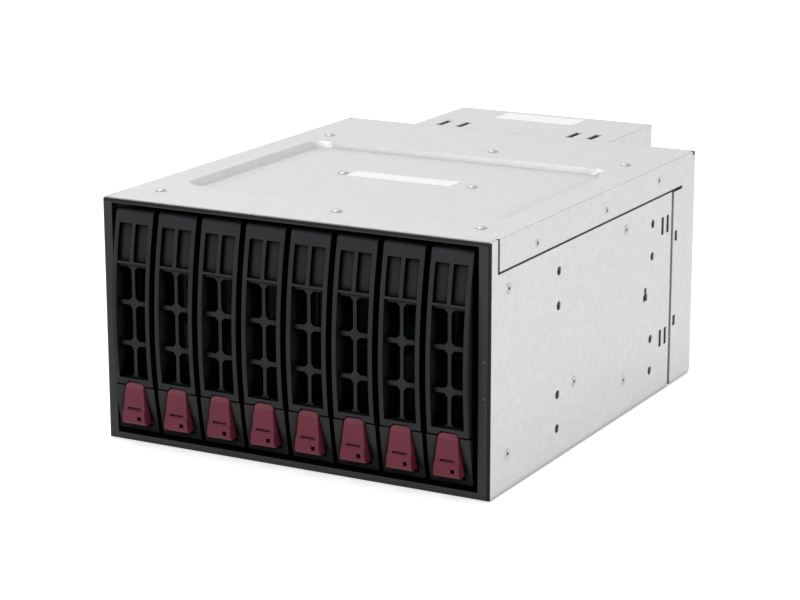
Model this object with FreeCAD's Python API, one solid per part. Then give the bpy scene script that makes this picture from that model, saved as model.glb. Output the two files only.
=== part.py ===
import FreeCAD, Part
import math
import os

from FreeCAD import Vector

# Driving dimensions in mm. X runs across the bay, Y from the steel front edge to the rear, Z up.
SHEET = 1.0            # galvanised sheet of the tray, cover and fan housing
BODY_W = 146.0         # width of a 5.25 inch bay module
BODY_H = 84.6          # height of two such bays
BODY_D = 168.0         # steel front edge to rear wall
SLACK = 0.05           # gap between sheets and pieces that lie against each other
CLEAR = 0.35           # gap between pieces that slide past each other

# Side mounting holes of the two bays
MOUNT_R = 1.5
MOUNT_FRONT_Y = 50.0
MOUNT_SPAN_Y = 79.25
MOUNT_LOW_Z = 10.4
MOUNT_SPAN_Z = 11.84
MOUNT_BAY_PITCH = 42.5

# Tray sides, cover flange and the seam of the rear flange
FLANGE_Z = 73.9        # lower edge of the cover's side flange
FLANGE_FRONT_Y = 5.5
FRONT_SEAM = 1.2
SEAM_FRONT_Y = 146.4
SEAM_REAR_Y = 148.4
SLIT_END_Y = 156.0
TONGUE_END_Y = 155.0
TONGUE_Z = (12.0, 70.0)
WINDOW_Y = (150.1, 152.3)
WINDOW_Z = ((22.3, 26.0), (54.2, 57.9))
RELIEF_X = (71.6, 73.0)
RELIEF_Y = (165.9, 167.4)
RELIEF_DEPTH = 1.3
CHANNEL_SLOT_Y = (138.3, 143.0)
CHANNEL_SLOT_Z = ((17.2, 23.4), (59.0, 65.3))
CHANNEL_SLOT_W = 2.0
KEYHOLE_Y = 123.7
KEYHOLE_Z = (37.6, 39.8, 42.3)
KEYHOLE_HALF = (1.7, 1.0)

# Where the guides are riveted to the tray walls (y, z) and to the cover (x, y)
LOW_GUIDE_RIVETS = ((63.0, 23.5), (105.3, 13.0))
HIGH_GUIDE_RIVET = (105.3, 67.4)
COVER_RIVETS = ((-61.0, 16.5), (8.0, 16.5), (61.0, 16.5), (-61.0, 131.5), (8.0, 131.5), (61.0, 131.5))
RIVET_SEAT = 3.2

# Pressed pocket in the top
POCKET_X = 61.4
POCKET_Y = (29.5, 120.6)
POCKET_DEPTH = 2.0
POCKET_SLOPE_X = 3.7
POCKET_SLOPE_Y = 1.8
POCKET_CORNER = 7.0

# Plastic bezel
BEZEL_FRONT = -1.2
BEZEL_BACK = -0.15
BEZEL_H = 84.25
BEZEL_OPEN_X = 69.0
BEZEL_OPEN_Z = (2.6, 83.1)
BEZEL_CHAMFER = 0.8
BEZEL_FLANGE_END = 2.0
BEZEL_EAR_END = 18.0
LENS_X = 71.0
LENS_Z = (34.0, 46.0)
LENS_HALF = 0.6

# Eight drive carriers side by side
CARRIERS = 8
PITCH = 17.1
NOSE_HALF = 7.75       # half width of a carrier's nose
BOW = 5.3              # how far the bowed face stands ahead of the steel edge
BOW_R = 170.0
BOW_Z = 42.0
RAIL_HALF = 6.4
RAIL_LOW = (5.3, 7.75)
RAIL_HIGH = (77.65, 80.1)
RAIL_END = 127.0
DRIVE_SLOTS_Y = ((37.0, 45.0), (113.5, 121.5))
DRIVE_SLOT_HALF = 1.6
NOSE_Z = (4.5, 20.6)
NOSE_BACK = 9.6
WALL_Y = (8.0, 9.6)
WALL_HALF = 6.6
WALL_WINDOWS = ((23.6, 42.0), (44.0, 62.4))
WALL_WINDOW_HALF = 5.4
CHEEK_X = (4.75, 6.6)
CHEEK_HALF = 1.8
SIDE_PLATE_X = (5.6, 6.6)
SIDE_PLATE_FRONT = 1.3

# Lever, its hinge and its grille
LEVER_HALF = 7.45
LEVER_Z = (21.1, 81.8)
LEVER_BACK = 0.9
LEVER_SHOULDER = 79.2
PIVOT_Y = 3.2
PIVOT_Z = 77.2
KNUCKLE_R = 3.2
KNUCKLE_HALF = 4.4
PIN_R = 1.0
WEB_HALF = 5.85
WEB_Y = (-3.0, -1.8)
WEB_Z = (23.4, 63.2)
GRILLE_BAR = 1.3
GRILLE_ROWS = ((23.6, 34.7), (36.3, 48.9), (50.5, 62.2))
GRILLE_CLIP = 1.2
RECESS_X = (0.75, 5.75)
RECESS_Z = (64.1, 76.8)
RECESS_DEPTH = 1.4
NOTCH_HALF = 4.25
NOTCH_TOP = 22.3
NOTCH_CLIP = 1.7

# Release tab
TAB_Z = (7.4, 21.8)
TAB_CROWN_R = 1.7
TAB_SHOULDER = TAB_Z[1] - TAB_CROWN_R
TAB_HALF = (4.75, 3.6)
TAB_HEEL_R = 1.7
TAB_HEEL_HALF = 3.8
TAB_GAP = 0.6
TAB_PIVOT_Y = 0.4
TAB_PIVOT_Z = 8.8
NIB_HALF = 0.8
NIB_SEAT_HALF = 1.3
NIB_END = 6.7
TAB_POCKET_BACK = 6.0

# Guides that the carriers run in
GUIDE_Y = (11.0, 136.0)
GUIDE_RIB_HALF = PITCH / 2 - RAIL_HALF - CLEAR
GUIDE_HALF = 70.4
GUIDE_FLOOR = (3.7, 4.9)
GUIDE_RIB_LOW = 7.4
GUIDE_CEILING = (80.45, 81.45)
GUIDE_RIB_HIGH = 78.2
GUIDE_LEAD = 3.0

# Backplane and its sockets
BOARD_Y = (139.6, 141.6)
BOARD_HALF = 69.7
BOARD_Z = (3.0, 79.0)
SOCKET_FRONT = 131.2
SOCKET_Z = (12.0, 55.0)
SOCKET_HALF = 3.0
VENT_HALF = 3.6
VENT_Z = (14.0, 72.0)
PORT_BACK = 155.0
POWER_X = -60.5
POWER_SIZE = (10.0, 23.0)
DATA_X = 57.5
DATA_SIZE = (9.6, 22.0)
PORT_Z = (26.0, 56.0)
PORT_WALL = 1.2
PORT_FLOOR = 3.0

# Fan and its housing behind the rear wall
FAN_X = -3.0
FAN_Z = 43.1
FAN_SIZE = 80.0
FAN_Y = (170.0, 208.0)
FAN_BORE = 38.0
FAN_CUT = 30.0         # half width of the flat sides of the clipped cut-out in the rear wall
FAN_FLANGE = 4.0
FAN_CORNER = 21.0
FAN_HOLE_SPAN = 71.5
HUB_R = 17.0
BLADE_R = 37.0
BLADES = 7
BLADE_T = 1.6
BLADE_CHORD = 27.0
BLADE_PITCH = 48.0
SHAFT_R = 1.5
MOTOR_R = 16.0
STRUT_W = 5.0
HOUSING_BACK = 210.0
HOUSING_W = 82.4
HOUSING_Z = (1.5, BODY_H)
HOUSING_EAR = 6.0
HOUSING_EAR_Z = (8.0, 78.0)
HOUSING_SLOTS_X = (23.5, 31.9)
HOUSING_SLOT_Y = (170.5, 181.0)
HOUSING_SLOT_W = 2.4
GUARD_T = 1.2
GUARD_RINGS = (19.0, 32.0)
GUARD_WIRE = 1.6
GUARD_SIDES = 24
CABLE_CUT_LEFT = (-69.0, -52.5)
CABLE_CUT_RIGHT = (46.0, 69.0)
CABLE_CUT_Z = (14.0, 68.0)

# The origin lies under the middle of the whole module
REAR_END = HOUSING_BACK + GUARD_T
CENTRE_Y = (REAR_END - BOW) / 2

WALL_OUT = BODY_W / 2
WALL_IN = WALL_OUT - SHEET
REACH = 400.0          # cutting tools run well past what they cut


def box(x, y, z):
    """A block between the two ends given on each axis."""
    return Part.makeBox(x[1] - x[0], y[1] - y[0], z[1] - z[0], Vector(x[0], y[0], z[0]))


def rod_x(radius, x, y, z):
    return Part.makeCylinder(radius, x[1] - x[0], Vector(x[0], y, z), Vector(1, 0, 0))


def rod_y(radius, x, y, z):
    return Part.makeCylinder(radius, y[1] - y[0], Vector(x, y[0], z), Vector(0, 1, 0))


def prism_x(points, x):
    """Extrudes a (y, z) outline along X."""
    corners = [Vector(x[0], y, z) for y, z in points]
    return Part.Face(Part.makePolygon(corners + corners[:1])).extrude(Vector(x[1] - x[0], 0, 0))


def prism_y(points, y):
    """Extrudes an (x, z) outline along Y."""
    corners = [Vector(x, y[0], z) for x, z in points]
    return Part.Face(Part.makePolygon(corners + corners[:1])).extrude(Vector(0, y[1] - y[0], 0))


def prism_z(points, z):
    """Extrudes an (x, y) outline along Z."""
    corners = [Vector(x, y, z[0]) for x, y in points]
    return Part.Face(Part.makePolygon(corners + corners[:1])).extrude(Vector(0, 0, z[1] - z[0]))


def line(a, b):
    return Part.LineSegment(a, b).toShape()


def arc(a, b, c):
    return Part.Arc(a, b, c).toShape()


def fuse(shapes):
    """Joins touching or crossing solids into one."""
    return shapes[0].multiFuse(shapes[1:]).removeSplitter()


def both_sides(shape):
    """The shape and its mirror image about the middle plane."""
    return [shape, shape.mirror(Vector(0, 0, 0), Vector(1, 0, 0))]


def carrier_centres():
    return [(i - (CARRIERS - 1) / 2) * PITCH for i in range(CARRIERS)]


def rib_centres():
    return [(i - CARRIERS / 2) * PITCH for i in range(CARRIERS + 1)]


def mount_heights():
    return [MOUNT_LOW_Z + bay * MOUNT_BAY_PITCH + row * MOUNT_SPAN_Z for bay in (0, 1) for row in (0, 1)]


def bow(z):
    """Y of the bowed carrier face at a height."""
    return BOW_R - BOW - math.sqrt(BOW_R**2 - (z - BOW_Z) ** 2)


# Steel case

def tray_side():
    """Right wall of the tray: it steps in under the cover flange and has a tongue behind the rear seam."""
    step_out = WALL_IN - SLACK
    step_in = step_out - SHEET
    top = BODY_H - SHEET - 0.2
    post_end = FLANGE_FRONT_Y - FRONT_SEAM
    front = box((WALL_IN, WALL_OUT), (0, post_end), (0, BODY_H))
    wall = prism_y([(WALL_OUT, 0), (WALL_OUT, FLANGE_Z - 0.7), (step_out, FLANGE_Z - 0.25), (step_out, top),
                    (step_in, top), (step_in, FLANGE_Z - 1.15), (WALL_IN, FLANGE_Z - 1.6), (WALL_IN, 0)],
                   (post_end, SEAM_FRONT_Y))
    tongue = prism_z([(WALL_OUT, SEAM_FRONT_Y - 2), (WALL_OUT, SEAM_FRONT_Y), (step_out, SEAM_FRONT_Y + 1.1),
                      (step_out, TONGUE_END_Y), (step_in, TONGUE_END_Y), (step_in, SEAM_FRONT_Y + 0.7),
                      (WALL_IN, SEAM_FRONT_Y - 0.4), (WALL_IN, SEAM_FRONT_Y - 2)], TONGUE_Z)
    return fuse([front, wall, tongue])


def side_cuts():
    """Cutting tools that run through both walls of the tray."""
    span = (-REACH / 2, REACH / 2)
    cuts = [rod_x(MOUNT_R, span, y, z) for z in mount_heights()
            for y in (MOUNT_FRONT_Y, MOUNT_FRONT_Y + MOUNT_SPAN_Y)]
    half = CHANNEL_SLOT_W / 2
    cuts += [box(span, (y - half, y + half), z) for y in CHANNEL_SLOT_Y for z in CHANNEL_SLOT_Z]
    cuts += [box(span, WINDOW_Y, z) for z in WINDOW_Z]
    low, neck, top = KEYHOLE_Z
    wide, narrow = KEYHOLE_HALF
    cuts.append(box(span, (KEYHOLE_Y - wide, KEYHOLE_Y + wide), (low, neck)))
    cuts.append(box(span, (KEYHOLE_Y - narrow, KEYHOLE_Y + narrow), (neck - 0.5, top)))
    return cuts


def chassis_tray():
    floor = box((-WALL_OUT, WALL_OUT), (0, SEAM_FRONT_Y), (0, SHEET))
    rear_floor = box((-WALL_IN + 0.2, WALL_IN - 0.2), (SEAM_FRONT_Y, BODY_D - SHEET - 0.2), (0, SHEET))
    return fuse([floor, rear_floor] + both_sides(tray_side())).cut(side_cuts())


def rounded_rectangle(inset_x, inset_y, z):
    """Outline of the pocket at a height, drawn in by an inset at the sides and one at the ends."""
    x = POCKET_X - inset_x
    y0 = POCKET_Y[0] + inset_y
    y1 = POCKET_Y[1] - inset_y
    r = POCKET_CORNER - inset_y
    q = r * (1 - math.sqrt(0.5))
    edges = [line(Vector(-x + r, y0, z), Vector(x - r, y0, z)),
             arc(Vector(x - r, y0, z), Vector(x - q, y0 + q, z), Vector(x, y0 + r, z)),
             line(Vector(x, y0 + r, z), Vector(x, y1 - r, z)),
             arc(Vector(x, y1 - r, z), Vector(x - q, y1 - q, z), Vector(x - r, y1, z)),
             line(Vector(x - r, y1, z), Vector(-x + r, y1, z)),
             arc(Vector(-x + r, y1, z), Vector(-x + q, y1 - q, z), Vector(-x, y1 - r, z)),
             line(Vector(-x, y1 - r, z), Vector(-x, y0 + r, z)),
             arc(Vector(-x, y0 + r, z), Vector(-x + q, y0 + q, z), Vector(-x + r, y0, z))]
    return Part.Wire(edges)


def pocket_form(top_z, swell):
    """Sloping block of the pressed pocket; swell widens it for the outside of the sheet."""
    floor = rounded_rectangle(POCKET_SLOPE_X - swell, POCKET_SLOPE_Y - swell, top_z - POCKET_DEPTH)
    return Part.makeLoft([rounded_rectangle(-swell, -swell, top_z), floor], True, True)


def cover_side():
    """Side flange of the cover with the deep drop behind the seam and the slit above it."""
    low = 0.2
    return prism_x([(FLANGE_FRONT_Y, BODY_H), (BODY_D, BODY_H), (BODY_D, low + 1.5), (BODY_D - 1.5, low),
                    (SEAM_REAR_Y, low), (SEAM_REAR_Y, FLANGE_Z - 1.1), (SLIT_END_Y, FLANGE_Z - 1.1),
                    (SLIT_END_Y, FLANGE_Z), (FLANGE_FRONT_Y, FLANGE_Z)], (WALL_IN, WALL_OUT))


def fan_cut(y):
    """Eight-sided cutting tool for the fan opening in the rear wall."""
    a, b = FAN_CUT, FAN_BORE
    ring = [(-a, -b), (a, -b), (b, -a), (b, a), (a, b), (-a, b), (-b, a), (-b, -a)]
    return prism_y([(FAN_X + x, FAN_Z + z) for x, z in ring], y)


def top_cover():
    top = box((-WALL_OUT, WALL_OUT), (0.2, BODY_D), (BODY_H - SHEET, BODY_H))
    rear = box((-WALL_OUT, WALL_OUT), (BODY_D - SHEET, BODY_D), (1.5, BODY_H))
    shell = fuse([top, rear, pocket_form(BODY_H - SHEET, 0.6)] + both_sides(cover_side()))
    span = (-REACH / 2, REACH / 2)
    wall = (BODY_D - 5, BODY_D + 5)
    cuts = [pocket_form(BODY_H, 0), fan_cut(wall)]
    cuts += [box(x, wall, CABLE_CUT_Z) for x in (CABLE_CUT_LEFT, CABLE_CUT_RIGHT)]
    cuts += [box(span, WINDOW_Y, z) for z in WINDOW_Z]
    cuts += both_sides(box((WALL_IN - SLACK, WALL_OUT), (0, FLANGE_FRONT_Y), (BODY_H - SHEET, BODY_H)))
    cuts += both_sides(box(RELIEF_X, RELIEF_Y, (BODY_H - RELIEF_DEPTH, BODY_H)))
    return shell.cut(cuts)


# Bezel and guides

def lens(z, half, y):
    """Square end of an indicator light pipe, or its hole."""
    return box((LENS_X - half, LENS_X + half), y, (z - half, z + half))


def bezel_outline(inset, y):
    """Outer rectangle of the bezel at a depth, drawn in by an inset."""
    x = WALL_OUT - inset
    low, top = inset, BEZEL_H - inset
    return Part.makePolygon([Vector(-x, y, low), Vector(x, y, low), Vector(x, y, top), Vector(-x, y, top),
                             Vector(-x, y, low)])


def front_bezel():
    """Chamfered plastic frame round the carriers, with two ears that run back inside the tray walls."""
    edge_y = BEZEL_FRONT + BEZEL_CHAMFER
    slab = box((-WALL_OUT, WALL_OUT), (edge_y, BEZEL_BACK), (0, BEZEL_H))
    raised = Part.makeLoft([bezel_outline(0, edge_y), bezel_outline(BEZEL_CHAMFER, BEZEL_FRONT)], True, True)
    frame = fuse([slab, raised]).cut(box((-BEZEL_OPEN_X, BEZEL_OPEN_X), (-REACH, REACH), BEZEL_OPEN_Z))
    ears = both_sides(box((BEZEL_OPEN_X, WALL_IN - SLACK), (BEZEL_BACK, BEZEL_EAR_END), (8.0, 71.5)))
    lip = box((-BEZEL_OPEN_X, BEZEL_OPEN_X), (BEZEL_BACK, WALL_Y[0]), (SHEET + SLACK, BEZEL_OPEN_Z[0]))
    flange_x = (BEZEL_OPEN_X, BEZEL_OPEN_X + 1)
    flanges = both_sides(box(flange_x, (BEZEL_BACK, BEZEL_FLANGE_END), (71.5, BEZEL_OPEN_Z[1])))
    bezel = fuse([frame, lip] + ears + flanges)
    return bezel.cut([lens(z, LENS_HALF + SLACK, (BEZEL_FRONT - 1, 2.0)) for z in LENS_Z])


def indicator_lenses():
    return Part.makeCompound([lens(z, LENS_HALF, (BEZEL_FRONT + 0.1, 1.9)) for z in LENS_Z])


def guide_rib(x, z):
    """One rib with a pointed lead-in at its front end."""
    h = GUIDE_RIB_HALF
    y0, y1 = GUIDE_Y
    return prism_z([(x - h, y0 + GUIDE_LEAD), (x - h / 3, y0), (x + h / 3, y0), (x + h, y0 + GUIDE_LEAD),
                    (x + h, y1), (x - h, y1)], z)


def lower_guide():
    plate = box((-GUIDE_HALF, GUIDE_HALF), (GUIDE_Y[0] + GUIDE_LEAD, GUIDE_Y[1]), GUIDE_FLOOR)
    ribs = [guide_rib(x, (SHEET, GUIDE_RIB_LOW)) for x in rib_centres()]
    ears = []
    for y, z in LOW_GUIDE_RIVETS:
        ears += both_sides(box((GUIDE_HALF - 1.2, WALL_IN - SLACK), (y - RIVET_SEAT, y + RIVET_SEAT),
                               (GUIDE_FLOOR[0], z + RIVET_SEAT)))
    return fuse([plate] + ribs + ears)


def upper_guide():
    plate = box((-GUIDE_HALF, GUIDE_HALF), (GUIDE_Y[0], GUIDE_Y[1]), GUIDE_CEILING)
    ribs = [guide_rib(x, (GUIDE_RIB_HIGH, GUIDE_CEILING[1])) for x in rib_centres()]
    y, z = HIGH_GUIDE_RIVET
    ears = both_sides(box((GUIDE_HALF - 1.2, GUIDE_HALF + 0.4), (y - RIVET_SEAT, y + RIVET_SEAT),
                          (z - RIVET_SEAT, GUIDE_CEILING[1])))
    s = RIVET_SEAT
    boss_z = (GUIDE_CEILING[0], BODY_H - SHEET)
    bosses = [box((x - s, x + s), (y - s, y + s), boss_z) for x, y in COVER_RIVETS]
    return fuse([plate] + ribs + ears + bosses)


# Drive carriers, each drawn about its own middle plane

def bowed_block(z0, z1, back, half):
    """Block whose front is the bowed face between two heights."""
    middle = (z0 + z1) / 2
    a = Vector(-half, bow(z0), z0)
    b = Vector(-half, bow(middle), middle)
    c = Vector(-half, bow(z1), z1)
    d = Vector(-half, back, z1)
    e = Vector(-half, back, z0)
    face = Part.Face(Part.Wire([arc(a, b, c), line(c, d), line(d, e), line(e, a)]))
    return face.extrude(Vector(2 * half, 0, 0))


def rail(z):
    """Runner of a carrier with a tapered rear end."""
    h = RAIL_HALF
    taper = RAIL_END - 5
    return prism_z([(-h, WALL_Y[0]), (h, WALL_Y[0]), (h, taper), (h - 1.5, RAIL_END), (-h + 1.5, RAIL_END),
                    (-h, taper)], z)


def pin_seat():
    """Open seat that the lever pin drops into."""
    return box(CHEEK_X, (PIVOT_Y - PIN_R, PIVOT_Y + PIN_R), (PIVOT_Z - PIN_R, PIVOT_Z + CHEEK_HALF))


def hinge_cheek():
    """Lug that carries one end of the lever pin."""
    h = CHEEK_HALF
    nose = h - 1.0
    low, high = PIVOT_Z - h, PIVOT_Z + h
    front, root = PIVOT_Y - h, WALL_Y[0]
    arm = prism_x([(root, low), (root, high), (PIVOT_Y - nose, high), (front, PIVOT_Z + nose),
                   (front, PIVOT_Z - nose), (PIVOT_Y - nose, low)], CHEEK_X)
    return arm.cut(pin_seat())


def tab_outline(gap, low, top):
    """Front outline of the tab, wider at the foot, opened out by a gap."""
    slope = (TAB_HALF[0] - TAB_HALF[1]) / (TAB_SHOULDER - TAB_Z[0])
    foot = TAB_HALF[0] + gap + slope * (TAB_Z[0] - low)
    head = TAB_HALF[0] + gap - slope * (top - TAB_Z[0])
    return [(-foot, low), (foot, low), (head, top), (-head, top)]


def nib_bar(half, end):
    """Square bar along the tab's hinge line: the two snap nibs, or their seats."""
    y, z = TAB_PIVOT_Y, TAB_PIVOT_Z
    return box((-end, end), (y - half, y + half), (z - half, z + half))


def carrier_frame():
    nose = bowed_block(NOSE_Z[0], NOSE_Z[1], NOSE_BACK, NOSE_HALF)
    wall = box((-WALL_HALF, WALL_HALF), WALL_Y, (NOSE_Z[1] - 1, RAIL_HIGH[1]))
    plate = box(SIDE_PLATE_X, (SIDE_PLATE_FRONT, WALL_Y[0]), (NOSE_Z[1] - 1, PIVOT_Z))
    sides = both_sides(fuse([hinge_cheek(), plate.cut(pin_seat())]))
    frame = fuse([nose, wall, rail(RAIL_LOW), rail(RAIL_HIGH)] + sides)
    cuts = [prism_y(tab_outline(TAB_GAP, TAB_Z[0] - 0.9, NOSE_Z[1] + 1), (-REACH, TAB_POCKET_BACK))]
    window = (-WALL_WINDOW_HALF, WALL_WINDOW_HALF)
    cuts += [box(window, (WALL_Y[0] - 1, WALL_Y[1] + 1), z) for z in WALL_WINDOWS]
    cuts += [box((-DRIVE_SLOT_HALF, DRIVE_SLOT_HALF), y, (0, BODY_H)) for y in DRIVE_SLOTS_Y]
    cuts.append(nib_bar(NIB_SEAT_HALF, NIB_END + CLEAR))
    return frame.cut(cuts)


def lever_blank():
    """Bowed bar with a rounded top, before the grille is cut."""
    low, top = LEVER_Z
    middle = (low + LEVER_SHOULDER) / 2
    a = Vector(-LEVER_HALF, bow(low), low)
    b = Vector(-LEVER_HALF, bow(middle), middle)
    c = Vector(-LEVER_HALF, bow(LEVER_SHOULDER), LEVER_SHOULDER)
    d = Vector(-LEVER_HALF, LEVER_BACK, top)
    crest = Vector(-LEVER_HALF, (c.y * 2 + d.y) / 3, top - 0.75)
    e = Vector(-LEVER_HALF, LEVER_BACK, low)
    face = Part.Face(Part.Wire([arc(a, b, c), arc(c, crest, d), line(d, e), line(e, a)]))
    return face.extrude(Vector(2 * LEVER_HALF, 0, 0))


def grille_opening(z0, z1):
    """Upright opening through the web on the right of the middle bar, clipped at the bar's crossings."""
    c = GRILLE_CLIP
    inner = GRILLE_BAR / 2
    return prism_y([(inner + c, z0), (WEB_HALF, z0), (WEB_HALF, z1), (inner + c, z1), (inner, z1 - c),
                    (inner, z0 + c)], (WEB_Y[0] - 1, WEB_Y[1] + 1))


def lever_recess():
    """Blind recess near the lever's top, with a floor that slopes with the bow."""
    z0, z1 = RECESS_Z
    front = -2 * BOW
    low, high = bow(z0) + RECESS_DEPTH, bow(z1) + RECESS_DEPTH
    return prism_x([(front, z0), (low, z0), (high, z1), (front, z1)], RECESS_X)


def tab_notch():
    """Clipped notch in the lever's lower end, round the head of the tab."""
    h, c = NOTCH_HALF, NOTCH_CLIP
    low = LEVER_Z[0] - 1
    return prism_y([(-h, low), (h, low), (h, NOTCH_TOP - c), (h - c, NOTCH_TOP), (c - h, NOTCH_TOP),
                    (-h, NOTCH_TOP - c)], (-REACH, REACH))


def knuckle():
    """Eight-sided hinge knuckle on the back of the lever."""
    a = KNUCKLE_R
    b = KNUCKLE_R * math.tan(math.pi / 8)
    ring = [(-a, -b), (-b, -a), (b, -a), (a, -b), (a, b), (b, a), (-b, a), (-a, b)]
    return prism_x([(PIVOT_Y + y, PIVOT_Z + z) for y, z in ring], (-KNUCKLE_HALF, KNUCKLE_HALF))


def lever():
    """Bowed lever with a sunk grille, two blind recesses near the top and a hinge knuckle behind them."""
    web = (-WEB_HALF, WEB_HALF)
    shaped = lever_blank().cut([box(web, (-REACH, WEB_Y[0]), WEB_Z), box(web, (WEB_Y[1], REACH), WEB_Z)])
    cuts = [tab_notch()] + both_sides(lever_recess())
    for z0, z1 in GRILLE_ROWS:
        cuts += both_sides(grille_opening(z0, z1))
    bore = rod_x(PIN_R + SLACK, (-LEVER_HALF, LEVER_HALF), PIVOT_Y, PIVOT_Z)
    return fuse([shaped.cut(cuts), knuckle()]).cut(bore)


def tab_face():
    """Front outline of the tab as a face: tapered sides and a flat crown with round corners."""
    low, top = TAB_Z
    foot, head = TAB_HALF
    y = -BOW - 1
    r = TAB_CROWN_R
    q = r * (1 - math.sqrt(0.5))
    edges = [line(Vector(-foot, y, low), Vector(foot, y, low)),
             line(Vector(foot, y, low), Vector(head, y, top - r)),
             arc(Vector(head, y, top - r), Vector(head - q, y, top - q), Vector(head - r, y, top)),
             line(Vector(head - r, y, top), Vector(r - head, y, top)),
             arc(Vector(r - head, y, top), Vector(q - head, y, top - q), Vector(-head, y, top - r)),
             line(Vector(-head, y, top - r), Vector(-foot, y, low))]
    return Part.Face(Part.Wire(edges))


def release_tab():
    """Thumb tab that leans out at its foot, with a grip slot, a blind hole, a round heel and two nibs."""
    low, top = TAB_Z
    front = [(-4.6, low), (-BOW, low + 0.9), (-BOW, 12.0), (-4.7, 12.6), (-4.3, TAB_SHOULDER), (-3.7, top)]
    back = [(-1.6, top), (-1.2, 13.0), (TAB_PIVOT_Y, 10.6), (TAB_PIVOT_Y, low)]
    profile = prism_x(front + back, (-NOSE_HALF, NOSE_HALF))
    body = profile.common(tab_face().extrude(Vector(0, 3 * BOW, 0)))
    heel = rod_x(TAB_HEEL_R, (-TAB_HEEL_HALF, TAB_HEEL_HALF), TAB_PIVOT_Y, TAB_PIVOT_Z)
    finger = prism_x([(-1.5, 15.2), (4.4, 16.6), (4.4, 17.2), (-1.5, 15.9)], (-2.2, 2.2))
    solid = fuse([body, heel, nib_bar(NIB_HALF, NIB_END), finger])
    grip_slot = box((-2.6, 2.6), (-BOW - 1, -3.9), (12.6, 13.3))
    blind_hole = box((1.5, 3.0), (-BOW - 1, -3.0), (9.0, 10.4))
    return solid.cut([grip_slot, blind_hole])


def lever_pin():
    return rod_x(PIN_R, (-CHEEK_X[1], CHEEK_X[1]), PIVOT_Y, PIVOT_Z)


def lever_spring():
    """Bent leaf that stands on the front wall and pushes the lever open."""
    y = WALL_Y[0]
    return prism_x([(y, 63.2), (y, 66.5), (y - 0.4, 66.5), (y - 0.4, 64.2), (1.6, 70.6), (1.3, 70.2),
                    (y - 0.9, 63.2)], (-2.2, 2.2))


# Backplane

def backplane_board():
    board = box((-BOARD_HALF, BOARD_HALF), BOARD_Y, BOARD_Z)
    vents = [box((x - VENT_HALF, x + VENT_HALF), (BOARD_Y[0] - 1, BOARD_Y[1] + 1), VENT_Z)
             for x in rib_centres()[2:-2]]
    return board.cut(vents)


def backplane_channels():
    """Upright sheet channels that hold the board's edges; their tongues seat in slots of the tray walls."""
    inner = WALL_IN - 1.1
    back = inner - SHEET
    front_y, rear_y = CHANNEL_SLOT_Y
    h = SHEET / 2
    z = (6.0, 72.0)
    web = box((back, inner), (front_y - CHANNEL_SLOT_W, rear_y + CHANNEL_SLOT_W), z)
    walls = [box((back - 3.5, inner), (y - h, y + h), z) for y in CHANNEL_SLOT_Y]
    tongues = [box((back, WALL_IN + 0.3), (y - h, y + h), (s[0] + 0.3, s[1] - 0.3))
               for y in CHANNEL_SLOT_Y for s in CHANNEL_SLOT_Z]
    return Part.makeCompound(both_sides(fuse([web] + walls + tongues)))


def drive_sockets():
    """One upright socket per carrier, with the long contact slot and its key step."""
    sockets = []
    for x in carrier_centres():
        body = box((x - SOCKET_HALF, x + SOCKET_HALF), (SOCKET_FRONT, BOARD_Y[0]), SOCKET_Z)
        slot_z = (SOCKET_Z[0] + 2, SOCKET_Z[1] - 2)
        slot = box((x - 1.1, x + 1.1), (SOCKET_FRONT - 1, SOCKET_FRONT + 5), slot_z)
        step = box((x - 1.1, x + SOCKET_HALF + 1), (SOCKET_FRONT - 1, SOCKET_FRONT + 2), (34, 37))
        sockets.append(body.cut([slot, step]))
    return Part.makeCompound(sockets)


def port_group(x, size):
    """Two upright shrouded ports on the back of the board."""
    ports = []
    for z in PORT_Z:
        half_x, half_z = size[0] / 2, size[1] / 2
        shroud = box((x - half_x, x + half_x), (BOARD_Y[1], PORT_BACK), (z - half_z, z + half_z))
        inner_x = half_x - PORT_WALL
        cavity = box((x - inner_x, x + inner_x), (BOARD_Y[1] + PORT_FLOOR, PORT_BACK + 1),
                     (z - half_z + PORT_WALL, z + half_z - PORT_WALL))
        ports.append(shroud.cut(cavity))
    return Part.makeCompound(ports)


# Fan and housing

def fan_housing():
    """Folded box round the fan, open to the rear wall, with ears and a round outlet."""
    x0, x1 = FAN_X - HOUSING_W / 2, FAN_X + HOUSING_W / 2
    z0, z1 = HOUSING_Z
    y = (BODY_D + SLACK, HOUSING_BACK)
    shell = box((x0, x1), y, (z0, z1))
    inside = box((x0 + SHEET, x1 - SHEET), (BODY_D - 1, HOUSING_BACK - SHEET), (z0 + SHEET, z1 - SHEET))
    ears = [box((x0 - HOUSING_EAR, x0 + SHEET), (y[0], y[0] + SHEET), HOUSING_EAR_Z),
            box((x1 - SHEET, x1 + HOUSING_EAR), (y[0], y[0] + SHEET), HOUSING_EAR_Z)]
    cuts = [rod_y(FAN_BORE, FAN_X, (HOUSING_BACK - 5, HOUSING_BACK + 5), FAN_Z)]
    w = HOUSING_SLOT_W / 2
    for offset in HOUSING_SLOTS_X:
        for side in (-1, 1):
            x = FAN_X + side * offset
            cuts.append(box((x - w, x + w), HOUSING_SLOT_Y, (z1 - 2, z1 + 1)))
    return fuse([shell.cut(inside)] + ears).cut(cuts)


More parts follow.
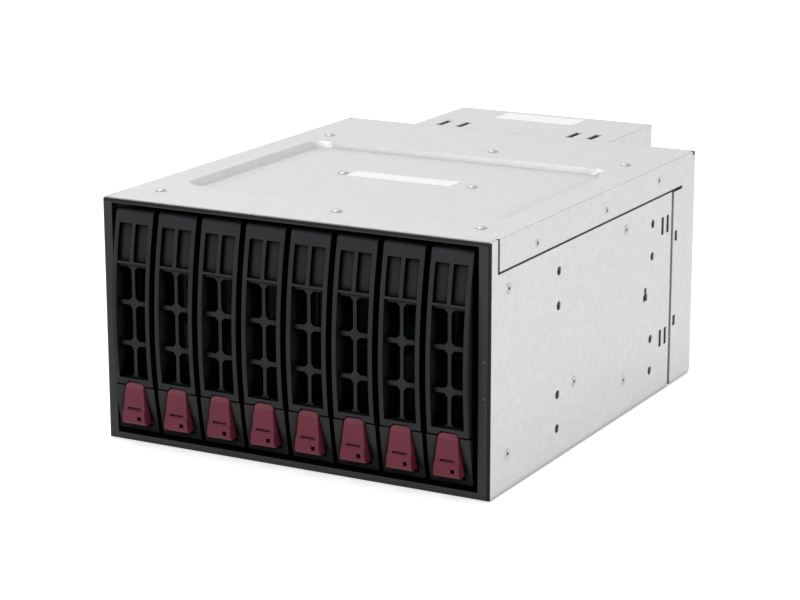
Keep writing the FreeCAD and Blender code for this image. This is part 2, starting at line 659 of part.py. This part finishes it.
def fan_frame():
    """Square frame with four hollowed corners, a round bore and struts that carry the motor base."""
    half = FAN_SIZE / 2
    y0, y1 = FAN_Y
    block = box((FAN_X - half, FAN_X + half), FAN_Y, (FAN_Z - half, FAN_Z + half))
    cuts = [rod_y(FAN_BORE, FAN_X, (y0 - 1, y1 + 1), FAN_Z)]
    waist = (y0 + FAN_FLANGE, y1 - FAN_FLANGE)
    edge = half + 1
    inner = half - FAN_CORNER
    for sx in (-1, 1):
        for sz in (-1, 1):
            corner = [(FAN_X + sx * edge, FAN_Z + sz * inner), (FAN_X + sx * edge, FAN_Z + sz * edge),
                      (FAN_X + sx * inner, FAN_Z + sz * edge)]
            cuts.append(prism_y(corner, waist))
    strut_y = (y1 - FAN_FLANGE + 0.5, y1 - 0.5)
    base = rod_y(MOTOR_R, FAN_X, strut_y, FAN_Z)
    w = STRUT_W / 2
    reach = FAN_BORE + 0.8
    cross = [box((FAN_X - reach, FAN_X + reach), strut_y, (FAN_Z - w, FAN_Z + w)),
             box((FAN_X - w, FAN_X + w), strut_y, (FAN_Z - reach, FAN_Z + reach))]
    bearing = rod_y(SHAFT_R + SLACK, FAN_X, (y0, y1 + 1), FAN_Z)
    return fuse([block.cut(cuts), base] + cross).cut(bearing)


def blade(turn):
    """One pitched blade, wider at its tip, turned about the shaft."""
    t = BLADE_T / 2
    root, tip = 0.8 * BLADE_CHORD / 2, BLADE_CHORD / 2
    foot, end = HUB_R - 2, BLADE_R - 3
    middle = (FAN_Y[0] + FAN_Y[1]) / 2 - 1
    wing = prism_y([(-root, foot), (root, foot), (tip, end), (-tip, end)], (-t, t))
    wing.rotate(Vector(0, 0, 0), Vector(0, 0, 1), BLADE_PITCH)
    wing.translate(Vector(FAN_X, middle, FAN_Z))
    wing.rotate(Vector(FAN_X, middle, FAN_Z), Vector(0, 1, 0), turn)
    return wing


def fan_impeller():
    y = (FAN_Y[0] + 2, FAN_Y[1] - FAN_FLANGE - 0.5)
    hub = rod_y(HUB_R, FAN_X, y, FAN_Z)
    shaft = rod_y(SHAFT_R, FAN_X, (y[1] - 1, FAN_Y[1] - 0.6), FAN_Z)
    return fuse([hub, shaft] + [blade(360 / BLADES * i) for i in range(BLADES)])


def guard_disc(radius, y):
    """Many-sided disc about the fan's axis."""
    turns = [2 * math.pi * i / GUARD_SIDES for i in range(GUARD_SIDES)]
    return prism_y([(FAN_X + radius * math.cos(a), FAN_Z + radius * math.sin(a)) for a in turns], y)


def fan_guard():
    """Flat finger guard over the outlet: rings on a diagonal cross."""
    y = (HOUSING_BACK, HOUSING_BACK + GUARD_T)
    w = GUARD_WIRE / 2
    rings = [guard_disc(r + w, y).cut(guard_disc(r - w, y)) for r in GUARD_RINGS]
    reach = FAN_HOLE_SPAN / math.sqrt(2) + 3.5
    bars = []
    for angle in (45, 135):
        bar = box((FAN_X - reach, FAN_X + reach), y, (FAN_Z - 2 * w, FAN_Z + 2 * w))
        bar.rotate(Vector(FAN_X, 0, FAN_Z), Vector(0, 1, 0), angle)
        bars.append(bar)
    return fuse(rings + bars)


def nodes():
    """Every piece by its name."""
    pieces = {
        "chassis_tray": chassis_tray(),
        "top_cover": top_cover(),
        "front_bezel": front_bezel(),
        "indicator_lenses": indicator_lenses(),
        "lower_guide": lower_guide(),
        "upper_guide": upper_guide(),
        "backplane_board": backplane_board(),
        "backplane_channels": backplane_channels(),
        "drive_sockets": drive_sockets(),
        "power_ports": port_group(POWER_X, POWER_SIZE),
        "data_ports": port_group(DATA_X, DATA_SIZE),
        "fan_housing": fan_housing(),
        "fan_frame": fan_frame(),
        "fan_impeller": fan_impeller(),
        "fan_guard": fan_guard(),
    }
    per_carrier = {
        "carrier_frame": carrier_frame(),
        "lever": lever(),
        "release_tab": release_tab(),
        "lever_pin": lever_pin(),
        "lever_spring": lever_spring(),
    }
    for number, x in enumerate(carrier_centres(), 1):
        for name, shape in per_carrier.items():
            pieces[f"{name}_{number}"] = shape.translated(Vector(x, 0, 0))
    return pieces


os.makedirs("parts", exist_ok=True)
for name, shape in nodes().items():
    shape.translated(Vector(0, -CENTRE_Y, 0)).exportStep(f"parts/{name}.step")
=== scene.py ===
import math
import bpy
import bmesh
from mathutils import Matrix, Vector


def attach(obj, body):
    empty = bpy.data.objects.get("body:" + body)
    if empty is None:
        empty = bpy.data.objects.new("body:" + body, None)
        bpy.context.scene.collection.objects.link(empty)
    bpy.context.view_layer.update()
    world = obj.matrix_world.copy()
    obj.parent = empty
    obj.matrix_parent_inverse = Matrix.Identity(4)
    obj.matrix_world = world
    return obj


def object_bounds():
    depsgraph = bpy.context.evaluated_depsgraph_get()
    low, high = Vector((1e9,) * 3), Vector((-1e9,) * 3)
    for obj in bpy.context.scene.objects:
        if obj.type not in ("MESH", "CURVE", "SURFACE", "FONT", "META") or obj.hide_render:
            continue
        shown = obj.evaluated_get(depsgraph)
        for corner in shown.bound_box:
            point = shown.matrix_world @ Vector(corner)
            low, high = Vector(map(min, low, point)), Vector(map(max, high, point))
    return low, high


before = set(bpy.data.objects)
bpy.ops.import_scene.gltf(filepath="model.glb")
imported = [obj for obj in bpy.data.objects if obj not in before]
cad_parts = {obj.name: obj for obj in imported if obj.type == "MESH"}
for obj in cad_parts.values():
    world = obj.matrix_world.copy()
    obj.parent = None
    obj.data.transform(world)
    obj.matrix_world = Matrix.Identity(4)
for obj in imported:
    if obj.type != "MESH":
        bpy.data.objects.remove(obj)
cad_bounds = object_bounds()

# Places in millimetres, as in the part's source
MM = 0.001
MIDDLE_Y = 102.95               # the source's Y at the middle of the frame
HIGH_X, HIGH_Y, HIGH_Z = (round(side / MM, 2) for side in cad_bounds[1])
SIDE_X = HIGH_X                 # outer face of the right side
TOP_Z = HIGH_Z                  # top of the cover and of the fan housing
POCKET_DEPTH = 2.0
POCKET_Z = TOP_Z - POCKET_DEPTH
SIDE_RIVETS = [(12.2, 12.5), (12.2, 67.2), (63, 23.5), (105.3, 13), (105.3, 67.4)]
FLANGE_CLINCHES = [(33, 77.6), (88, 77.7), (134, 79.6)]
TOP_RIVETS_X = (-61, 8, 61)
TOP_RIVETS_Y = (16.5, 131.5)
POCKET_RIVETS_X = (-25.7, 25.7)
POCKET_RIVETS_Y = 80
FAN_X = -3.0
FAN_Z = 43.1
FAN_SCREWS = (-35.75, 35.75)    # from the fan's axis
GUARD_Y = MIDDLE_Y + HIGH_Y     # rear face of the finger guard
EAR_Y = 169.05                  # rear face of the housing's ears
EAR_SCREWS_X = (-47.2, 41.2)
EAR_SCREWS_Z = (20, 66)
TONGUE_SLOTS_Y = (138.3, 143.0)
TONGUE_SLOTS_Z = ((17.2, 23.4), (59.0, 65.3))
COVER_LABEL = (-23, 18.5, 77, 85.5)
HOUSING_LABEL = (-22, 12, 193.5, 206)

# Outlines of turned pieces, each a list of radius and height
RIVET_RING = [(1.85, 0.02), (1.75, 0.14), (1.3, 0.18), (1.0, 0.12), (0.55, 0.1)]
# Dark disc in the centre of a rivet or clinch: painted shade of its bore
RIVET_BORE_SHADE = [(0.6, 0.11), (0.5, 0.125), (0.2, 0.13)]
RIVET_DOME = [(1.9, 0.02), (1.8, 0.3), (1.4, 0.58), (0.9, 0.7), (0.4, 0.74)]
SCREW_HEAD = [(2.6, 0.02), (2.6, 0.5), (2.2, 0.8), (1.1, 0.85), (0.9, 0.3), (0.3, 0.25)]
CLINCH_SHARE = 0.7              # radius of a clinch mark against a rivet
TURN_STEPS = 28

# Dark sheet in a tongue slot, painted shade for the slot's depth: depth below the side and draw-in of the
# three outlines
SHADE_SHEET_OUTLINES = ((1.05, 0.0), (0.75, 0.0), (0.65, 0.12))
SHADE_SHEET_HALF_Y = 0.96
SHADE_SHEET_GAP_Z = 0.04

LABEL_CORNER = 0.8
LABEL_CORNER_STEPS = 5
LABEL_LOW = 0.01
LABEL_HIGH = 0.12

# Painted shade in hollows, seams and gaps between parts: reach in millimetres, tone left, own piece
# alone, openness from darkest to full
SEAM_SHADE = {"reach": 2.5, "darkest": 0.3, "alone": False, "span": (0.25, 0.95)}
PRESSED_SHADE = {"reach": 9.0, "darkest": 0.5, "alone": True, "span": (0.7, 0.97)}
MOULDED_SHADE = {"reach": 4.0, "darkest": 0.2, "alone": True, "span": (0.25, 0.95)}
FRAMED_SHADE = {"reach": 4.0, "darkest": 0.2, "alone": False, "span": (0.25, 0.95)}
DEEP_SHADE = {"reach": 14.0, "darkest": 0.02, "alone": False, "span": (0.6, 0.87)}
SHADE_SAMPLES = 8

PATTERN_SPAN = (0.2, 0.8)       # where most of a pattern's values lie
# Painted shade in a fine line along the sheet's edges
FOLD_SHADE_REACH = 0.8
FOLD_SHADE_DARKEST = 0.55
FOLD_SHADE_SPAN = (0.7, 0.98)
# Painted shade on slanted rims: span of the forward facing, and darkest tone
RIM_SPAN = (-0.97, -0.75)
RIM_DARKEST = 0.15

ZINC_METALLIC = 0.85
ZINC_ROUGH = (0.45, 0.5)
ZINC_SPANGLE = 760.0
ZINC_GRAIN = 900.0
ZINC_BUMP = (0.12, 0.0002)      # strength, and height in metres
PLASTIC_ROUGH = (0.42, 0.54)
PLASTIC_CLOUD = 70.0
PLASTIC_GRAIN = 2600.0
PLASTIC_BUMP = (0.16, 0.0001)
SATIN = 0.22
MATT = 0.05
STREAK = 1500.0
STREAK_SHARE = 0.8
STREAK_ROUGH = 0.06
TRACKS = 500.0
BOARD_ROUGH = 0.32
FIBRE = 1400.0
PAPER_ROUGH = 0.6
PAPER_BUMP = (0.05, 0.0001)

# Edge rounding in millimetres for each material slot
EDGES = {
    "galvanised_steel": 0.4, "bezel_plastic": 0.4, "carrier_plastic": 0.35, "lever_plastic": 0.5,
    "tab_plastic": 0.35, "fan_plastic": 0.4, "guide_plastic": 0.2, "port_nylon": 0.3,
}
WELD_GAP = 0.002
SEAL_GAP = 0.003
FLAT_ANGLE = 0.5
EDGE_ANGLE = 35

# Stage in metres and watts
FLOOR_SIZE = 6.0
FLOOR_DROP = 0.0003
FLOOR_TONE = 0.78
FLOOR_GLOW = 0.095              # for every ray
FLOOR_GLOW_SEEN = 0.475         # added for the camera
FLOOR_GLOSS_SHARE = 0.3         # share of that for reflections
DOME_SPAN = (0.25, 0.75)
DOME_STRENGTH = (1.0, 0.5)
LAMPS = (
    ("top_light", (-0.42, 0.22, 1.15), (0, 0, 0.04), (0.8, 0.9), 3.6),
    ("right_light", (1.2, -0.3, 0.12), (0, 0, 0.0), (0.8, 0.24), 2.2),
    ("front_light", (0.3, -1.2, 0.2), (0, -0.1, 0.02), (0.5, 0.3), 2.6),
    ("left_light", (-0.9, -1.1, 0.6), (0, -0.1, 0.04), (0.8, 0.8), 4.4),
    ("slope_light", (-0.3, -0.28, 1.15), (0, 0.02, 0.08), (0.35, 0.35), 0.85),
)

# Camera fitted to the photo, in the source's millimetres
CAMERA_AT = (401.66, -665.79, 258.38)
CAMERA_AIM = (7.96, 60.0, 44.63)
CAMERA_ROLL = -0.09
CAMERA_LENS = 110.737
CAMERA_SENSOR = 36.0
CAMERA_NEAR = 0.01


# Shader nodes

def feed(tree, socket, value):
    """Give an input a plain value or the output that feeds it."""
    if isinstance(value, bpy.types.NodeSocket):
        tree.links.new(value, socket)
    else:
        socket.default_value = value


def add(tree, kind, inputs=None, **settings):
    node = tree.nodes.new("ShaderNode" + kind)
    for name, value in settings.items():
        setattr(node, name, value)
    for name, value in (inputs or {}).items():
        feed(tree, node.inputs[name], value)
    return node


def new_material(name):
    material = bpy.data.materials.new(name + "_finish")
    material.use_nodes = True
    tree = material.node_tree
    shader = tree.nodes["Principled BSDF"]
    place = add(tree, "TexCoord").outputs["Object"]
    return material, tree, shader, place


def scaled(tree, place, scale):
    return add(tree, "Mapping", {"Vector": place, "Scale": scale}).outputs["Vector"]


def noise(tree, place, scale, detail=3.0):
    return add(tree, "TexNoise", {"Vector": place, "Scale": scale, "Detail": detail}).outputs["Fac"]


def cells(tree, place, scale):
    color = add(tree, "TexVoronoi", {"Vector": place, "Scale": scale}).outputs["Color"]
    return add(tree, "RGBToBW", {"Color": color}).outputs["Val"]


def mapped(tree, value, span, ends):
    """Value carried from one span to another and held at its ends."""
    inputs = {"Value": value, "From Min": span[0], "From Max": span[1],
              "To Min": ends[0], "To Max": ends[1]}
    return add(tree, "MapRange", inputs).outputs["Result"]


def to_range(tree, pattern, low, high):
    return mapped(tree, pattern, PATTERN_SPAN, (low, high))


def blend(tree, pattern, first, second):
    inputs = {"Factor": to_range(tree, pattern, 0, 1), "A": (*first, 1), "B": (*second, 1)}
    return add(tree, "Mix", inputs, data_type="RGBA").outputs["Result"]


def multiplied(tree, color, share):
    inputs = {"Factor": 1.0, "A": color, "B": share}
    return add(tree, "Mix", inputs, data_type="RGBA", blend_type="MULTIPLY").outputs["Result"]


def bump(tree, shader, height, strength, distance):
    inputs = {"Height": height, "Strength": strength, "Distance": distance}
    feed(tree, shader.inputs["Normal"], add(tree, "Bump", inputs).outputs["Normal"])


def painted_crevice_shade(tree, color, shade_setting):
    """Painted shade: colour darkened where nearby surfaces close in."""
    near = add(tree, "AmbientOcclusion", {"Distance": shade_setting["reach"] * MM}, samples=SHADE_SAMPLES,
               only_local=shade_setting["alone"])
    share = mapped(tree, near.outputs["AO"], shade_setting["span"], (shade_setting["darkest"], 1.0))
    return multiplied(tree, color, share)


def painted_edge_shade(tree, color):
    """Painted shade: colour darkened in a fine line along bent and cut edges of the sheet."""
    rounded = add(tree, "Bevel", {"Radius": FOLD_SHADE_REACH * MM}, samples=SHADE_SAMPLES).outputs["Normal"]
    normal = add(tree, "NewGeometry").outputs["Normal"]
    turn = add(tree, "VectorMath", {0: rounded, 1: normal}, operation="DOT_PRODUCT")
    return multiplied(tree, color, mapped(tree, turn.outputs["Value"], FOLD_SHADE_SPAN, (FOLD_SHADE_DARKEST, 1.0)))


def rim_shade(tree, color):
    """Painted shade: colour kept on faces that look forward and darkened on the slanted rims round them.
    """
    normal = add(tree, "SeparateXYZ", {"Vector": add(tree, "NewGeometry").outputs["Normal"]})
    return multiplied(tree, color, mapped(tree, normal.outputs["Y"], RIM_SPAN, (1.0, RIM_DARKEST)))


# Materials

def zinc(name, dark, light):
    material, tree, shader, place = new_material(name)
    flakes = cells(tree, place, ZINC_SPANGLE)
    # Painted shade: a fine dark line along the sheet's edges, then darkening at the foot of pressed
    # slopes and in seams between parts
    tone = painted_edge_shade(tree, blend(tree, flakes, dark, light))
    tone = painted_crevice_shade(tree, painted_crevice_shade(tree, tone, PRESSED_SHADE), SEAM_SHADE)
    feed(tree, shader.inputs["Base Color"], tone)
    feed(tree, shader.inputs["Metallic"], ZINC_METALLIC)
    feed(tree, shader.inputs["Roughness"], to_range(tree, flakes, *ZINC_ROUGH))
    bump(tree, shader, noise(tree, place, ZINC_GRAIN), *ZINC_BUMP)
    return material


def plastic(name, dark, light, rough=PLASTIC_ROUGH, specular=SATIN, shade_setting=MOULDED_SHADE, rim=False):
    material, tree, shader, place = new_material(name)
    cloud = noise(tree, place, PLASTIC_CLOUD)
    # Painted shade in hollows and gaps, and painted shade on slanted rims where asked
    tone = painted_crevice_shade(tree, blend(tree, cloud, dark, light), shade_setting)
    feed(tree, shader.inputs["Base Color"], rim_shade(tree, tone) if rim else tone)
    feed(tree, shader.inputs["Specular IOR Level"], specular)
    feed(tree, shader.inputs["Roughness"], to_range(tree, cloud, *rough))
    bump(tree, shader, noise(tree, place, PLASTIC_GRAIN, 2.0), *PLASTIC_BUMP)
    return material


def drawn_metal(name, tone, rough):
    material, tree, shader, place = new_material(name)
    streak = noise(tree, scaled(tree, place, (1, 0.1, 1)), STREAK)
    shade = tuple(STREAK_SHARE * part for part in tone)
    feed(tree, shader.inputs["Base Color"], blend(tree, streak, shade, tone))
    feed(tree, shader.inputs["Metallic"], 1.0)
    roughness = to_range(tree, streak, rough - STREAK_ROUGH, rough + STREAK_ROUGH)
    feed(tree, shader.inputs["Roughness"], roughness)
    return material


def board_green(name):
    material, tree, shader, place = new_material(name)
    tracks = cells(tree, scaled(tree, place, (1, 1, 0.25)), TRACKS)
    tone = blend(tree, tracks, (0.003, 0.026, 0.011), (0.005, 0.046, 0.018))
    feed(tree, shader.inputs["Base Color"], tone)
    feed(tree, shader.inputs["Roughness"], BOARD_ROUGH)
    return material


def paper(name):
    material, tree, shader, place = new_material(name)
    fibre = noise(tree, place, FIBRE)
    feed(tree, shader.inputs["Base Color"], blend(tree, fibre, (0.93, 0.93, 0.925), (0.97, 0.97, 0.965)))
    feed(tree, shader.inputs["Roughness"], PAPER_ROUGH)
    bump(tree, shader, fibre, *PAPER_BUMP)
    return material


MATERIALS = {
    "galvanised_steel": zinc("galvanised_steel", (0.738, 0.738, 0.728), (0.79, 0.79, 0.777)),
    # Bezel: painted shade in its hollows, where it meets other parts and the floor, and on its slanted
    # rims
    "bezel_plastic": plastic("bezel_plastic", (0.022, 0.022, 0.021), (0.029, 0.029, 0.028),
                             shade_setting=FRAMED_SHADE, rim=True),
    "lens_plastic": plastic("lens_plastic", (0.05, 0.05, 0.05), (0.07, 0.07, 0.07), (0.2, 0.3)),
    "guide_plastic": plastic("guide_plastic", (0.010, 0.010, 0.011), (0.015, 0.015, 0.016)),
    "circuit_board": board_green("circuit_board"),
    "socket_plastic": plastic("socket_plastic", (0.012, 0.012, 0.013), (0.018, 0.018, 0.019)),
    "port_nylon": plastic("port_nylon", (0.7, 0.68, 0.6), (0.78, 0.76, 0.68)),
    "port_shell": drawn_metal("port_shell", (0.7, 0.7, 0.71), 0.3),
    "fan_plastic": plastic("fan_plastic", (0.010, 0.010, 0.011), (0.016, 0.016, 0.017)),
    "guard_steel": drawn_metal("guard_steel", (0.72, 0.72, 0.73), 0.25),
    # Carrier and lever: deep painted shade in their cells and in the gaps between neighbours
    "carrier_plastic": plastic("carrier_plastic", (0.024, 0.024, 0.025), (0.030, 0.030, 0.031),
                               specular=MATT, shade_setting=DEEP_SHADE),
    "lever_plastic": plastic("lever_plastic", (0.022, 0.023, 0.025), (0.027, 0.028, 0.031),
                             specular=MATT, shade_setting=DEEP_SHADE),
    "tab_plastic": plastic("tab_plastic", (0.096, 0.014, 0.025), (0.13, 0.020, 0.036), (0.34, 0.46)),
    "spring_steel": drawn_metal("spring_steel", (0.12, 0.12, 0.125), 0.35),
}
# Same zinc darkened for the backplane channels: painted shade, as they lie deep behind the tongue slots
SHADED_CHANNEL = zinc("zinc_in_painted_shade", (0.16, 0.16, 0.16), (0.2, 0.2, 0.2))
PAPER = paper("label_paper")
RIVET = drawn_metal("rivet_metal", (0.74, 0.74, 0.73), 0.36)
SCREW = drawn_metal("screw_metal", (0.62, 0.62, 0.62), 0.32)
# Dark plastic for pieces that stand for the shade in bores and slots: painted shade
SHADE = plastic("shaded_bore", (0.03, 0.03, 0.03), (0.05, 0.05, 0.05), (0.6, 0.7))


# Finishing of the built nodes

def round_edges(piece, width):
    """Rounded edges on cleaned faces, welded shut again where the rounding leaves slits."""
    weld = piece.modifiers.new("weld", "WELD")
    weld.merge_threshold = WELD_GAP * MM
    flat = piece.modifiers.new("flat", "DECIMATE")
    flat.decimate_type = "DISSOLVE"
    flat.angle_limit = math.radians(FLAT_ANGLE)
    bevel = piece.modifiers.new("bevel", "BEVEL")
    bevel.width = width * MM
    bevel.segments = 2
    bevel.limit_method = "ANGLE"
    bevel.angle_limit = math.radians(EDGE_ANGLE)
    bevel.harden_normals = True
    bevel.use_clamp_overlap = True
    seal = piece.modifiers.new("seal", "WELD")
    seal.merge_threshold = SEAL_GAP * MM


def finish_nodes():
    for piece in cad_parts.values():
        slot = piece.material_slots[0].material.name
        # The backplane channels get the zinc darkened as painted shade
        channel_in_shade = piece.name == "backplane_channels"
        piece.material_slots[0].material = SHADED_CHANNEL if channel_in_shade else MATERIALS[slot]
        if slot in EDGES:
            round_edges(piece, EDGES[slot])


# Small pieces

def place_of(x, y, z):
    return Vector((x, y - MIDDLE_Y, z)) * MM


def skin(mesh, rings, smooth=False):
    """Closed skin over a stack of outlines with the same number of points."""
    for lower, upper in zip(rings, rings[1:]):
        for step in range(len(lower)):
            after = (step + 1) % len(lower)
            face = mesh.faces.new((lower[step], lower[after], upper[after], upper[step]))
            face.smooth = smooth
    mesh.faces.new(rings[0])
    mesh.faces.new(rings[-1])


def turned(profile, at, axis, mesh):
    turn = Vector((0, 0, 1)).rotation_difference(Vector(axis)).to_matrix().to_4x4()
    frame_at = Matrix.Translation(place_of(*at)) @ turn
    rings = []
    for radius, height in profile:
        ring = []
        for step in range(TURN_STEPS):
            angle = 2 * math.pi * step / TURN_STEPS
            point = Vector((radius * math.cos(angle), radius * math.sin(angle), height)) * MM
            ring.append(mesh.verts.new(frame_at @ point))
        rings.append(ring)
    skin(mesh, rings, smooth=True)


def finished(name, mesh, material, body="chassis"):
    bmesh.ops.recalc_face_normals(mesh, faces=mesh.faces)
    data = bpy.data.meshes.new(name)
    mesh.to_mesh(data)
    mesh.free()
    piece = bpy.data.objects.new(name, data)
    bpy.context.scene.collection.objects.link(piece)
    data.materials.append(material)
    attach(piece, body)


def row(name, profile, spots, material):
    mesh = bmesh.new()
    for at, axis in spots:
        turned(profile, at, axis, mesh)
    finished(name, mesh, material)


def on_both_sides(spots):
    return [((side * SIDE_X, y, z), (side, 0, 0)) for side in (-1, 1) for y, z in spots]


def fasteners():
    clinch = [(CLINCH_SHARE * radius, height) for radius, height in RIVET_RING]
    row("side_rivets", RIVET_RING, on_both_sides(SIDE_RIVETS), RIVET)
    row("flange_clinches", clinch, on_both_sides(FLANGE_CLINCHES), RIVET)
    # Dark discs in the rivet and clinch centres: painted shade
    row("side_bore_shades", RIVET_BORE_SHADE, on_both_sides(SIDE_RIVETS + FLANGE_CLINCHES), SHADE)
    top = [((x, y, TOP_Z), (0, 0, 1)) for x in TOP_RIVETS_X for y in TOP_RIVETS_Y]
    pocket = [((x, POCKET_RIVETS_Y, POCKET_Z), (0, 0, 1)) for x in POCKET_RIVETS_X]
    row("top_rivets", RIVET_DOME, top + pocket, RIVET)
    corners = [((FAN_X + dx, GUARD_Y, FAN_Z + dz), (0, 1, 0)) for dx in FAN_SCREWS for dz in FAN_SCREWS]
    row("fan_screws", SCREW_HEAD, corners, SCREW)
    ears = [((x, EAR_Y, z), (0, 1, 0)) for x in EAR_SCREWS_X for z in EAR_SCREWS_Z]
    row("housing_screws", SCREW_HEAD, ears, SCREW)


# Dark sheet standing for the shade inside one slot: painted shade
def shade_sheet(mesh, side, along, up):
    rings = []
    for depth, inset in SHADE_SHEET_OUTLINES:
        corners = [(along[0] + inset, up[0] + inset), (along[1] - inset, up[0] + inset),
                   (along[1] - inset, up[1] - inset), (along[0] + inset, up[1] - inset)]
        rings.append([mesh.verts.new(place_of(side * (SIDE_X - depth), y, z)) for y, z in corners])
    skin(mesh, rings)


def slot_shades():
    """Dark sheets in the narrow gaps round the channel tongues in both sides: painted shade for the depth
    of the gaps.
    """
    mesh = bmesh.new()
    for side in (-1, 1):
        for y in TONGUE_SLOTS_Y:
            for low, high in TONGUE_SLOTS_Z:
                along = (y - SHADE_SHEET_HALF_Y, y + SHADE_SHEET_HALF_Y)
                shade_sheet(mesh, side, along, (low + SHADE_SHEET_GAP_Z, high - SHADE_SHEET_GAP_Z))
    finished("slot_shades", mesh, SHADE)


def label(name, x0, x1, y0, y1, z):
    """Blank paper label with rounded corners."""
    mesh = bmesh.new()
    r = LABEL_CORNER
    outline = []
    corners = ((x1 - r, y1 - r, 0), (x0 + r, y1 - r, 90), (x0 + r, y0 + r, 180), (x1 - r, y0 + r, 270))
    for cx, cy, start in corners:
        for step in range(LABEL_CORNER_STEPS):
            angle = math.radians(start + 90 * step / (LABEL_CORNER_STEPS - 1))
            outline.append((cx + r * math.cos(angle), cy + r * math.sin(angle)))
    rings = [[mesh.verts.new(place_of(x, y, z + rise)) for x, y in outline]
             for rise in (LABEL_LOW, LABEL_HIGH)]
    skin(mesh, rings)
    finished(name, mesh, PAPER)


# Stage, light and camera

def backdrop():
    """White floor that glows a little more for the camera than for reflections."""
    mesh = bmesh.new()
    bmesh.ops.create_grid(mesh, x_segments=1, y_segments=1, size=FLOOR_SIZE)
    data = bpy.data.meshes.new("floor")
    mesh.to_mesh(data)
    mesh.free()
    floor = bpy.data.objects.new("floor", data)
    floor.location.z = -FLOOR_DROP
    bpy.context.scene.collection.objects.link(floor)
    material, tree, shader, place = new_material("floor_white")
    ray = add(tree, "LightPath").outputs
    seen = add(tree, "Math", {0: ray["Is Glossy Ray"], 1: FLOOR_GLOSS_SHARE, 2: ray["Is Camera Ray"]},
               operation="MULTIPLY_ADD").outputs[0]
    glow = add(tree, "Math", {0: seen, 1: FLOOR_GLOW_SEEN, 2: FLOOR_GLOW},
               operation="MULTIPLY_ADD").outputs[0]
    feed(tree, shader.inputs["Base Color"], (FLOOR_TONE, FLOOR_TONE, FLOOR_TONE, 1))
    feed(tree, shader.inputs["Roughness"], 0.9)
    feed(tree, shader.inputs["Specular IOR Level"], 0.0)
    feed(tree, shader.inputs["Emission Color"], (1, 1, 1, 1))
    feed(tree, shader.inputs["Emission Strength"], glow)
    data.materials.append(material)


def surroundings():
    """White to the camera; for light and reflections bright at the horizon and dimmer overhead."""
    world = bpy.data.worlds.new("studio")
    bpy.context.scene.world = world
    world.use_nodes = True
    tree = world.node_tree
    ground = tree.nodes["Background"]
    height = add(tree, "SeparateXYZ", {"Vector": add(tree, "TexCoord").outputs["Generated"]}).outputs["Z"]
    dome = mapped(tree, height, DOME_SPAN, DOME_STRENGTH)
    seen = add(tree, "LightPath").outputs["Is Camera Ray"]
    feed(tree, ground.inputs["Color"], (1, 1, 1, 1))
    feed(tree, ground.inputs["Strength"], mapped(tree, seen, (0.0, 1.0), (dome, 1.0)))


def lamp(name, place, aim, size, power):
    data = bpy.data.lights.new(name, "AREA")
    data.shape = "RECTANGLE"
    data.size, data.size_y = size
    data.energy = power
    piece = bpy.data.objects.new(name, data)
    piece.location = place
    piece.rotation_euler = (Vector(aim) - Vector(place)).to_track_quat("-Z", "Y").to_euler()
    bpy.context.scene.collection.objects.link(piece)


def camera():
    data = bpy.data.cameras.new("photo_camera")
    data.lens = CAMERA_LENS
    data.sensor_width = CAMERA_SENSOR
    data.clip_start = CAMERA_NEAR
    piece = bpy.data.objects.new("photo_camera", data)
    place = place_of(*CAMERA_AT)
    look = (place_of(*CAMERA_AIM) - place).to_track_quat("-Z", "Y").to_matrix().to_4x4()
    roll = Matrix.Rotation(math.radians(CAMERA_ROLL), 4, "Z")
    piece.matrix_world = Matrix.Translation(place) @ look @ roll
    bpy.context.scene.collection.objects.link(piece)
    bpy.context.scene.camera = piece


finish_nodes()
fasteners()
slot_shades()
label("cover_label", *COVER_LABEL, POCKET_Z)
label("housing_label", *HOUSING_LABEL, TOP_Z)
backdrop()
surroundings()
for settings in LAMPS:
    lamp(*settings)
camera()
bpy.context.scene.view_settings.view_transform = "Standard"
